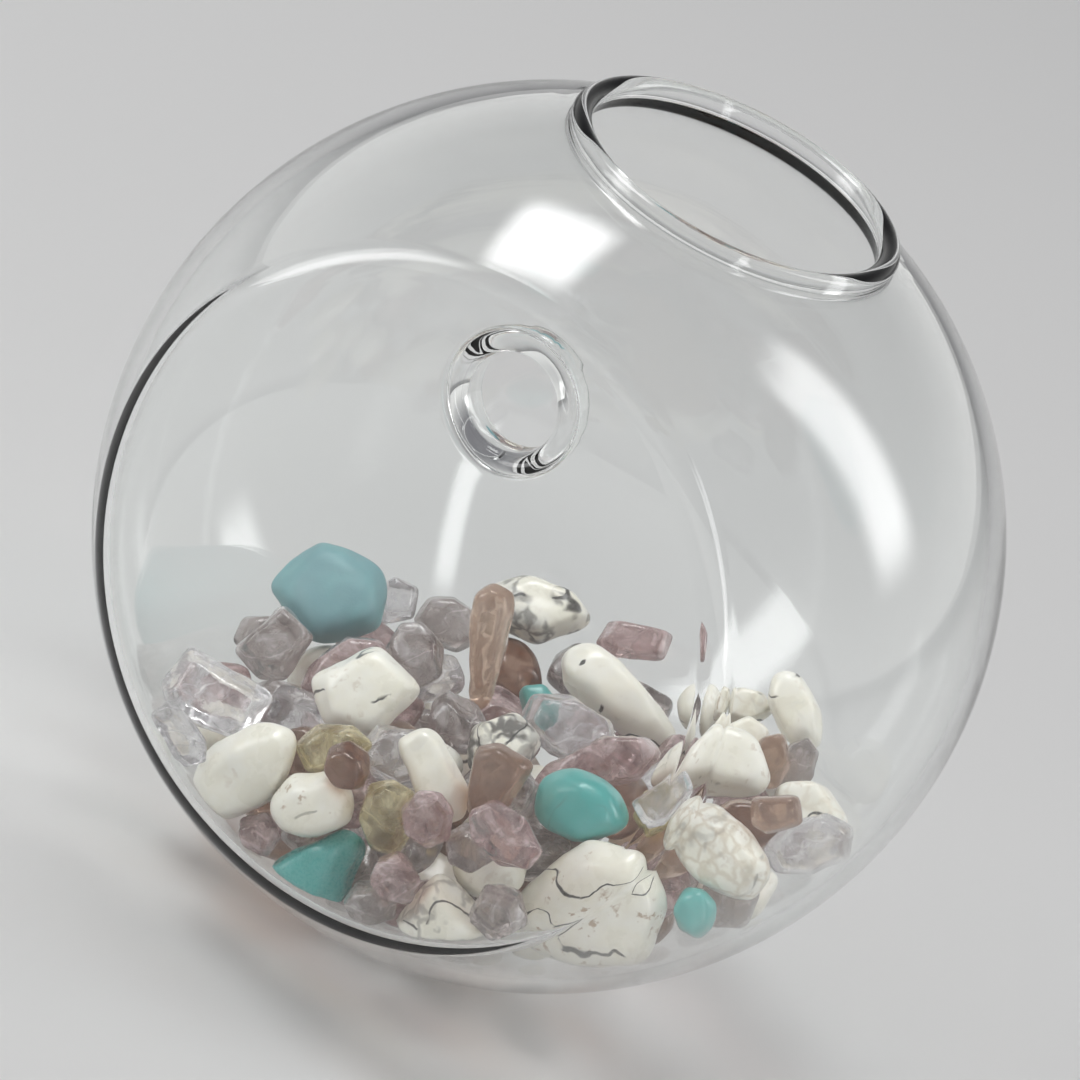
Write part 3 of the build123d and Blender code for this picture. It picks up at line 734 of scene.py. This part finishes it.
def tumble(points, faces, tree, sockets, values):
    """One rough stone as a worn and dented skin: its points and faces."""
    rough = bpy.data.objects.new("rough_stone", mesh_of("rough_stone", points, faces))
    bpy.context.scene.collection.objects.link(rough)
    wear = rough.modifiers.new("tumbling", "NODES")
    wear.node_group = tree
    low, high = points.min(axis=0), points.max(axis=0)
    wear[sockets["Middle"]] = tuple(middle_of(points[np.array(faces)]))
    wear[sockets["Stretch"]] = tuple((high - low) / max(high - low))
    for name, value in values.items():
        wear[sockets[name]] = value
    bpy.context.view_layer.update()
    worn = bpy.data.meshes.new_from_object(rough.evaluated_get(bpy.context.evaluated_depsgraph_get()))
    skin = np.zeros(3 * len(worn.vertices))
    worn.vertices.foreach_get("co", skin)
    corners = [list(face.vertices) for face in worn.polygons]
    rough_mesh = rough.data
    bpy.data.objects.remove(rough)
    bpy.data.meshes.remove(rough_mesh)
    bpy.data.meshes.remove(worn)
    skin = skin.reshape(-1, 3)
    worn_low, worn_high = skin.min(axis=0), skin.max(axis=0)
    if (worn_low < low - MM).any() or (worn_high > high + MM).any():
        raise RuntimeError("a stone's skin has left the stone")
    return low + (skin - worn_low) * (high - low) / (worn_high - worn_low), corners


def polish_stones(mineral, material):
    """Replaces each CAD stone of one mineral by its polished form."""
    settings = bpy.context.scene.wall_vase.stones
    tree, sockets = tumbling_tree()
    nodes = sorted(node for node in frame["nodes"] if node.startswith(mineral + "_"))
    if not nodes:
        raise RuntimeError(f"there is no stone of {mineral}")
    for turn, node in enumerate(nodes):
        chance = np.random.default_rng([settings.seed, turn, len(node)])
        solids = separate_solids(node)
        fineness = settings.fineness if len(solids) == 1 else settings.fineness - 1
        polish = round(settings.polish * TUMBLED.get(node, TUMBLED.get(mineral, 1)))
        points, faces, looks, count = [], [], [], 0
        for solid, solid_faces in solids:
            seed = float(chance.uniform(0, 100))
            values = {"Polish": polish, "Fineness": fineness, "Dents": settings.dents, "Seed": seed,
                      "Material": material}
            skin, corners = tumble(solid, solid_faces, tree, sockets, values)
            points.append(skin)
            faces += [[count + corner for corner in face] for face in corners]
            drawn = [chance.uniform(0.05, 0.95), *(most * chance.uniform() for most in BED_MARKS)]
            look = [TONES.get(node, drawn[0]), *HOWLITE_MARKS.get(node, drawn[1:])]
            looks.append(np.tile(look, (len(skin), 1)))
            count += len(skin)
        mesh = mesh_of(node + "_polished", np.concatenate(points), faces)
        for name, amounts in zip(("tone", *MARKS), np.concatenate(looks).T):
            layer = mesh.attributes.new(name, "FLOAT", "POINT")
            layer.data.foreach_set("value", np.ascontiguousarray(amounts))
        show(mesh, material, node)
    bpy.data.node_groups.remove(tree)


def show(mesh, material, node):
    """Puts a finished piece in place of its CAD node, on the same body."""
    mesh.materials.clear()
    mesh.materials.append(material)
    piece = bpy.data.objects.new(mesh.name, mesh)
    bpy.context.scene.collection.objects.link(piece)
    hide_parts(node)
    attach(piece, BODY[node])


class VASE_OT_glass(bpy.types.Operator):
    """Blow the glass: a ball with a flat back, a bead-lipped mouth and a rolled hanging hole"""

    bl_idname = "wall_vase.glass"
    bl_label = "Glass"

    def execute(self, context):
        settings = context.scene.wall_vase.glass
        show(glass_mesh(settings), clear_glass(settings), "glass_vessel")
        return {"FINISHED"}


class VASE_OT_howlite(bpy.types.Operator):
    """Tumble the howlite: cream stones with dark hairlines"""

    bl_idname = "wall_vase.howlite"
    bl_label = "Howlite"

    def execute(self, context):
        polish_stones("howlite", howlite(context.scene.wall_vase.stones))
        return {"FINISHED"}


class VASE_OT_turquoise(bpy.types.Operator):
    """Tumble the turquoise: chalky blue to polished blue-green stones"""

    bl_idname = "wall_vase.turquoise"
    bl_label = "Turquoise"

    def execute(self, context):
        polish_stones("turquoise", turquoise(context.scene.wall_vase.stones))
        return {"FINISHED"}


class VASE_OT_rose_quartz(bpy.types.Operator):
    """Tumble the rose quartz: translucent rose to mauve stones"""

    bl_idname = "wall_vase.rose_quartz"
    bl_label = "Rose quartz"

    def execute(self, context):
        polish_stones("rose_quartz", quartz("rose_quartz", context.scene.wall_vase.stones))
        return {"FINISHED"}


class VASE_OT_smoky_quartz(bpy.types.Operator):
    """Tumble the smoky quartz: translucent grey stones"""

    bl_idname = "wall_vase.smoky_quartz"
    bl_label = "Smoky quartz"

    def execute(self, context):
        polish_stones("smoky_quartz", quartz("smoky_quartz", context.scene.wall_vase.stones))
        return {"FINISHED"}


class VASE_OT_clear_quartz(bpy.types.Operator):
    """Tumble the clear quartz: clear to milky stones"""

    bl_idname = "wall_vase.clear_quartz"
    bl_label = "Clear quartz"

    def execute(self, context):
        polish_stones("clear_quartz", quartz("clear_quartz", context.scene.wall_vase.stones))
        return {"FINISHED"}


class VASE_OT_citrine(bpy.types.Operator):
    """Tumble the citrine: olive to honey stones"""

    bl_idname = "wall_vase.citrine"
    bl_label = "Citrine"

    def execute(self, context):
        polish_stones("citrine", quartz("citrine", context.scene.wall_vase.stones))
        return {"FINISHED"}


class VASE_OT_agate(bpy.types.Operator):
    """Tumble the agate: brown to tan stones in fine bands"""

    bl_idname = "wall_vase.agate"
    bl_label = "Agate"

    def execute(self, context):
        polish_stones("agate", agate(context.scene.wall_vase.stones))
        return {"FINISHED"}


def camera_axes(stage):
    """Right, up and towards the viewer, as the camera sees them."""
    azimuth, elevation, roll = (math.radians(angle) for angle in (stage.azimuth, stage.elevation, stage.roll))
    toward = Vector((math.sin(azimuth) * math.cos(elevation), -math.cos(azimuth) * math.cos(elevation),
                     math.sin(elevation)))
    level = Vector((math.cos(azimuth), math.sin(azimuth), 0))
    upright = toward.cross(level)
    right = math.cos(roll) * level + math.sin(roll) * upright
    return right, toward.cross(right), toward


def aim(thing, axes, place):
    """Turns a camera or lamp so that it looks against the last of three axes, at a place."""
    thing.matrix_world = Matrix.Translation(place) @ Matrix(axes).transposed().to_4x4()


def softbox(name, place, size, power):
    """A wide lamp that shines on the vase and fades towards its edges."""
    data = bpy.data.lights.new(name, "AREA")
    data.shape = "RECTANGLE"
    data.size, data.size_y = size
    data.energy = power
    data.use_nodes = True
    data.node_tree.nodes.clear()
    field = Field(data.node_tree)
    spot = field.node("ShaderNodeNewGeometry", output="Parametric")
    across = field.node("ShaderNodeSeparateXYZ", {}, {0: spot})
    along = Field(data.node_tree, across.socket.node.outputs[1])
    fade = (1 - (across - 0.5).size().step(0.20, 0.50)) * (1 - (along - 0.5).size().step(0.25, 0.50))
    glow = field.node("ShaderNodeEmission", {}, {"Strength": fade})
    output = data.node_tree.nodes.new("ShaderNodeOutputLight")
    data.node_tree.links.new(glow.socket, output.inputs["Surface"])
    lamp = bpy.data.objects.new(name, data)
    bpy.context.scene.collection.objects.link(lamp)
    lamp.visible_camera = False
    lamp.location = BALL_CENTRE + place
    lamp.rotation_mode = "QUATERNION"
    lamp.rotation_quaternion = (-place).to_track_quat("-Z", "Y")


class VASE_OT_stage(bpy.types.Operator):
    """Lay the pale floor, hang the soft lamps and set the camera"""

    bl_idname = "wall_vase.stage"
    bl_label = "Stage"

    def execute(self, context):
        stage = context.scene.wall_vase.stage
        self.lay_floor(stage)
        self.light_world(context.scene)
        axes = camera_axes(stage)
        right, up, toward = axes
        for name, ((across, above, before), size, power) in SOFTBOXES.items():
            softbox(name, across * right + above * up + before * toward, size, power)
        softbox("edge_softbox", Vector((-0.66, 0.62, 0.42)), (0.14, 1.10), 2.4)
        data = bpy.data.cameras.new("camera")
        data.lens, data.sensor_width = stage.lens, 36.0
        data.clip_start = 0.01
        camera = bpy.data.objects.new("camera", data)
        context.scene.collection.objects.link(camera)
        aimed_at = BALL_CENTRE - stage.aim_left * right - stage.aim_down * up
        aim(camera, axes, aimed_at + stage.distance * toward)
        context.scene.camera = camera
        context.scene.view_settings.view_transform = "Standard"
        return {"FINISHED"}

    @staticmethod
    def lay_floor(stage):
        half, clearance = 6.0, 0.2 * MM
        level = GLASS_LOW.z - clearance
        corners = half * np.array([(-1, -1, 0), (1, -1, 0), (1, 1, 0), (-1, 1, 0)])
        corners[:, 2] = level
        floor = bpy.data.objects.new("floor", mesh_of("floor", corners, [(0, 1, 2, 3)]))
        floor.data.materials.append(pale_floor(stage))
        bpy.context.scene.collection.objects.link(floor)

    @staticmethod
    def light_world(scene):
        world = bpy.data.worlds.new("studio")
        scene.world = world
        world.use_nodes = True
        world.node_tree.nodes.clear()
        field = Field(world.node_tree)
        way = field.node("ShaderNodeTexCoord", output="Generated")
        height = field.node("ShaderNodeSeparateXYZ", {}, {0: way}, 2)
        horizon, zenith = (0.62, 0.62, 0.615), (0.16, 0.16, 0.17)
        shade = height.step(0.02, 0.60).mix(horizon, zenith)
        glow = field.node("ShaderNodeBackground", {}, {"Color": shade, "Strength": 1.25})
        output = world.node_tree.nodes.new("ShaderNodeOutputWorld")
        world.node_tree.links.new(glow.socket, output.inputs["Surface"])


class VASE_PT_sidebar(bpy.types.Panel):
    """The steps that make the wall vase, and their settings"""

    bl_idname = "VASE_PT_sidebar"
    bl_label = "Wall vase"
    bl_space_type = "VIEW_3D"
    bl_region_type = "UI"
    bl_category = "Wall vase"

    def draw(self, context):
        vase = context.scene.wall_vase
        for step in STEPS:
            self.layout.operator(step.bl_idname)
        for group in (vase.glass, vase.stones, vase.stage):
            for name in group.__annotations__:
                self.layout.prop(group, name)


STEPS = (VASE_OT_glass, VASE_OT_howlite, VASE_OT_turquoise, VASE_OT_rose_quartz, VASE_OT_smoky_quartz,
         VASE_OT_clear_quartz, VASE_OT_citrine, VASE_OT_agate, VASE_OT_stage)
CLASSES = (GlassSettings, StoneSettings, StageSettings, VaseSettings, *STEPS, VASE_PT_sidebar)


def register():
    for item in CLASSES:
        bpy.utils.register_class(item)
    bpy.types.Scene.wall_vase = PointerProperty(type=VaseSettings)


def unregister():
    del bpy.types.Scene.wall_vase
    for item in reversed(CLASSES):
        bpy.utils.unregister_class(item)


def main():
    register()
    for step in STEPS:
        group, name = step.bl_idname.split(".")
        getattr(getattr(bpy.ops, group), name)()


if __name__ == "__main__":
    main()
